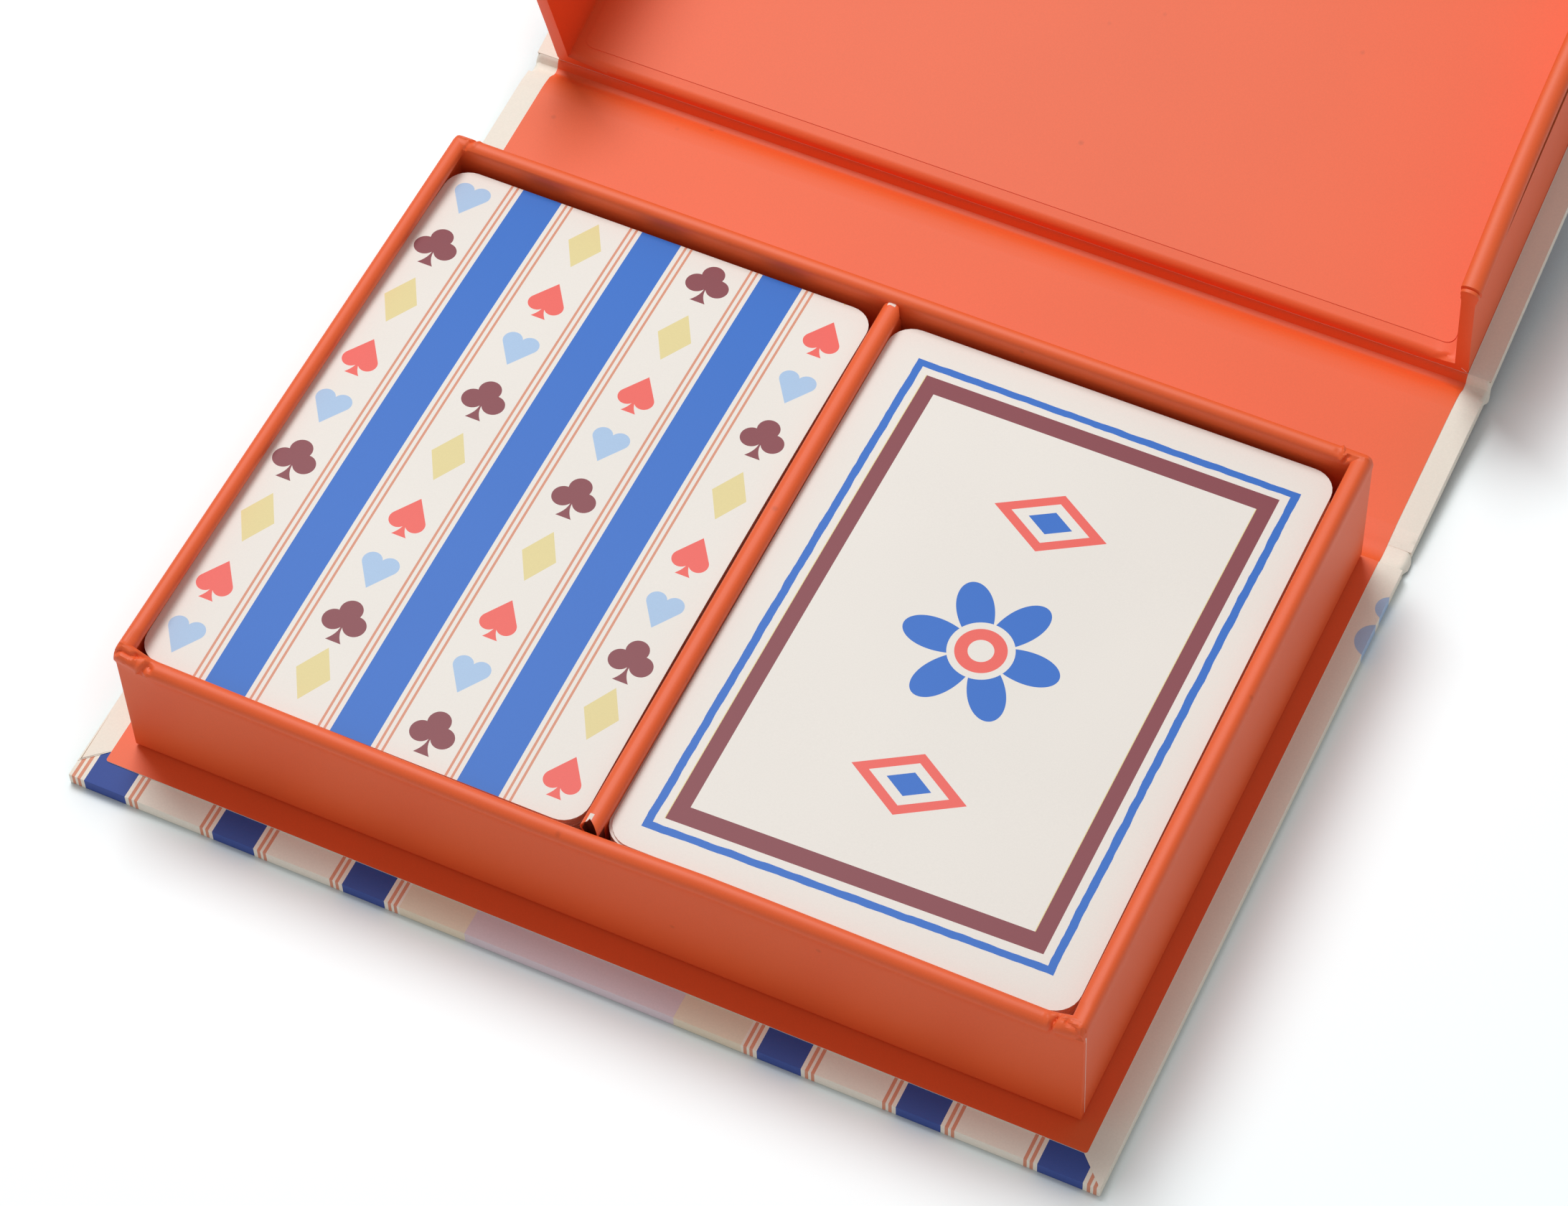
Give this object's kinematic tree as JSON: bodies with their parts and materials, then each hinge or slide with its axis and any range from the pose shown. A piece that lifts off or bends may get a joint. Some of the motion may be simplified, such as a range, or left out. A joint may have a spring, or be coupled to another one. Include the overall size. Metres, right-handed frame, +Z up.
{
  "type": "playing card box",
  "caption": "Book-style clamshell box lying open: a divided card tray on the base, a paper-hinged spine and a lid with its own tray, holding two decks of playing cards.",
  "frame": {"origin": "centre of the underside of the base panel, on the surface that the box lies on", "axes": "+X from the left card well to the right one, +Y from the front edge to the hinged spine and the open lid, +Z up"},
  "size_m": [0.146, 0.2344, 0.0488],
  "materials": {
    "greyboard": "matte",
    "printed_cover_paper": "satin",
    "orange_paper": "satin",
    "playing_card_stock": "satin"
  },
  "bodies": {
    "base": {"base_board": "greyboard", "base_cover": "printed_cover_paper", "base_liner": "orange_paper", "tray_floor_board": "greyboard", "tray_front_wall": "greyboard", "tray_back_wall": "greyboard", "tray_left_wall": "greyboard", "tray_right_wall": "greyboard", "tray_wrap": "orange_paper", "divider_board": "greyboard", "divider_wrap": "orange_paper", "left_well_lining": "orange_paper", "right_well_lining": "orange_paper"},
    "spine": {"spine_board": "greyboard", "spine_cover": "printed_cover_paper", "spine_liner": "orange_paper"},
    "lid": {"lid_board": "greyboard", "lid_cover": "printed_cover_paper", "lid_liner": "orange_paper", "lid_tray_floor_board": "greyboard", "lid_tray_far_wall": "greyboard", "lid_tray_left_wall": "greyboard", "lid_tray_right_wall": "greyboard", "lid_tray_wrap": "orange_paper", "lid_tray_lining": "orange_paper"},
    "left_deck": {"left_deck_cards": "playing_card_stock"},
    "left_top_card": {"left_top_card": "playing_card_stock"},
    "right_deck": {"right_deck_cards": "playing_card_stock"},
    "right_top_card": {"right_top_card": "playing_card_stock"}
  },
  "joints": [
    {"name": "spine_hinge", "type": "hinge", "parent": "base", "child": "spine", "pos_m": [0, 0.05328, 0], "axis": [-1, 0, 0], "range_deg": [-86.8, 3.2]},
    {"name": "lid_hinge", "type": "hinge", "parent": "spine", "child": "lid", "pos_m": [0, 0.08188, 0.0016], "axis": [-1, 0, 0], "range_deg": [-80.6, 9.4]},
    {"name": "left_deck_lift", "type": "slide", "parent": "base", "child": "left_deck", "axis": [0, 0, 1], "range_m": [0, 0.04]},
    {"name": "left_top_card_lift", "type": "slide", "parent": "left_deck", "child": "left_top_card", "axis": [0, 0, 1], "range_m": [0, 0.03]},
    {"name": "right_deck_lift", "type": "slide", "parent": "base", "child": "right_deck", "axis": [0, 0, 1], "range_m": [0, 0.04]},
    {"name": "right_top_card_lift", "type": "slide", "parent": "right_deck", "child": "right_top_card", "axis": [0, 0, 1], "range_m": [0, 0.03]}
  ]
}
